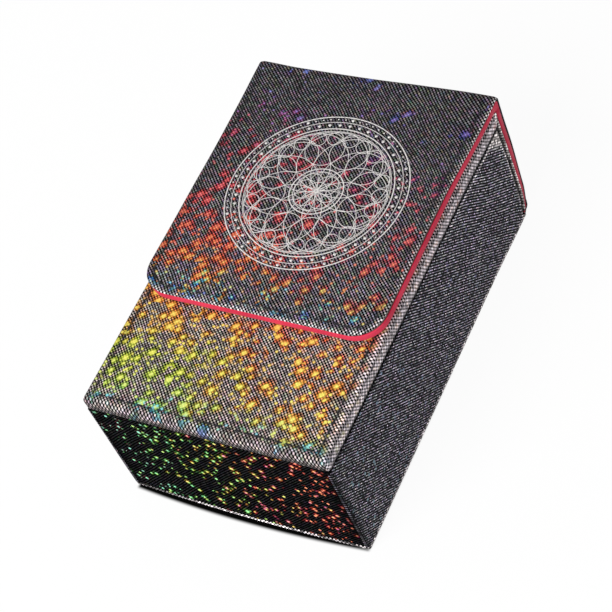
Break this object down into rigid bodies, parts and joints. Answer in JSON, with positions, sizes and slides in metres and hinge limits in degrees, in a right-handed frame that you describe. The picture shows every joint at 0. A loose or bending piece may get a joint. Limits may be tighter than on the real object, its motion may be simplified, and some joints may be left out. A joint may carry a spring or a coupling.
{
  "type": "card storage box",
  "caption": "Leather-covered deck box lying on its back, with a red-lined lid that folds at two leather hinges into a long magnetic front flap",
  "frame": {"origin": "middle of the box's outline, on the plane that its back rests on", "axes": "+Z out of the front wall with the flap, +Y towards the mouth and its lid, +X the box's right side seen from the front"},
  "size_m": [0.0814, 0.1304, 0.0536],
  "materials": {
    "leather": "black holographic artificial leather with a fine woven grain",
    "lining": "red microfibre",
    "board": "grey binder's board",
    "magnet": "nickel-plated disc magnet",
    "thread": "black sewing thread"
  },
  "bodies": {
    "box": {"back_board": "board", "back_lining": "lining", "back_skin": "leather", "bottom_board": "board", "bottom_lining": "lining", "bottom_skin": "leather", "front_binding": "leather", "front_board": "board", "front_lining": "lining", "front_magnet_left": "magnet", "front_magnet_right": "magnet", "front_skin": "leather", "front_stitching": "thread", "left_binding": "leather", "left_board": "board", "left_lining": "lining", "left_skin": "leather", "left_stitching": "thread", "right_binding": "leather", "right_board": "board", "right_lining": "lining", "right_skin": "leather", "right_stitching": "thread"},
    "lid_top": {"lid_top_board": "board", "lid_top_skin": "leather", "lid_top_lining": "lining", "rear_hinge_leather": "leather", "rear_hinge_lining": "lining"},
    "flap": {"flap_board": "board", "flap_skin": "leather", "flap_lining": "lining", "flap_magnet_left": "magnet", "flap_magnet_right": "magnet", "flap_stitching": "thread", "front_fold_leather": "leather", "front_fold_lining": "lining"}
  },
  "joints": [
    {"name": "lid_hinge", "type": "hinge", "parent": "box", "child": "lid_top", "pos_m": [0, 0.0648, 0.0004], "axis": [-1, 0, 0], "range_deg": [0, 90], "deforming": ["rear_hinge_leather", "rear_hinge_lining"]},
    {"name": "flap_fold", "type": "hinge", "parent": "lid_top", "child": "flap", "pos_m": [0, 0.0648, 0.0532], "axis": [-1, 0, 0], "range_deg": [0, 90], "deforming": ["front_fold_leather", "front_fold_lining"]}
  ]
}
